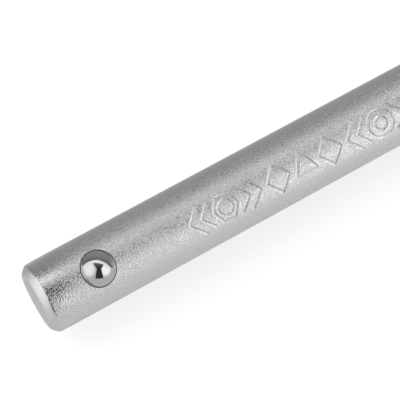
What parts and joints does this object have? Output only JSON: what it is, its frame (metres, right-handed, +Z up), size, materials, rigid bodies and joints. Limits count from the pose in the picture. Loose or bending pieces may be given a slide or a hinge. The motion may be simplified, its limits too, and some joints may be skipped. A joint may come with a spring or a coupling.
{
  "type": "sliding t-handle",
  "caption": "Sliding T-handle breaker bar: a round bar through a sliding, turning head with a half inch square drive, spring balls at the bar's ends and in the square.",
  "frame": {"origin": "at floor level under the middle of the whole tool's box, which is half-way along the bar and on the square drive's axis line seen from above", "axes": "+X runs along the bar, the square drive points to -Y, +Z is up and is the side that the balls stand out of"},
  "size_m": [0.25, 0.0454, 0.025],
  "materials": {
    "satin_chrome": "blasted, then satin chrome plated",
    "polished_ball_steel": "mirror polished",
    "spring_steel": "drawn spring wire"
  },
  "bodies": {
    "handle": {"handle_bar": "satin_chrome", "end_spring_left": "spring_steel", "end_spring_right": "spring_steel"},
    "left_stop": {"end_ball_left": "polished_ball_steel"},
    "right_stop": {"end_ball_right": "polished_ball_steel"},
    "grip_rings": {"friction_ring_left": "spring_steel", "friction_ring_right": "spring_steel"},
    "head": {"sliding_head": "satin_chrome", "drive_spring": "spring_steel"},
    "socket_catch": {"drive_ball": "polished_ball_steel"}
  },
  "joints": [
    {"name": "head_slide", "type": "slide", "parent": "handle", "child": "grip_rings", "axis": [1, 0, 0], "range_m": [-0.098, 0.098]},
    {"name": "head_turn", "type": "hinge", "parent": "grip_rings", "child": "head", "pos_m": [0, 0.00975, 0.0125], "axis": [1, 0, 0], "continuous": true},
    {"name": "left_stop_press", "type": "slide", "parent": "handle", "child": "left_stop", "axis": [0, 0, 1], "range_m": [-0.0021, 0], "stiffness_N_per_m": 2500, "springref_m": 0.001, "deforming": ["end_spring_left"]},
    {"name": "right_stop_press", "type": "slide", "parent": "handle", "child": "right_stop", "axis": [0, 0, 1], "range_m": [-0.0021, 0], "stiffness_N_per_m": 2500, "springref_m": 0.001, "deforming": ["end_spring_right"]},
    {"name": "socket_catch_press", "type": "slide", "parent": "head", "child": "socket_catch", "axis": [0, 0, 1], "range_m": [-0.00115, 0], "stiffness_N_per_m": 3000, "springref_m": 0.001, "deforming": ["drive_spring"]}
  ]
}
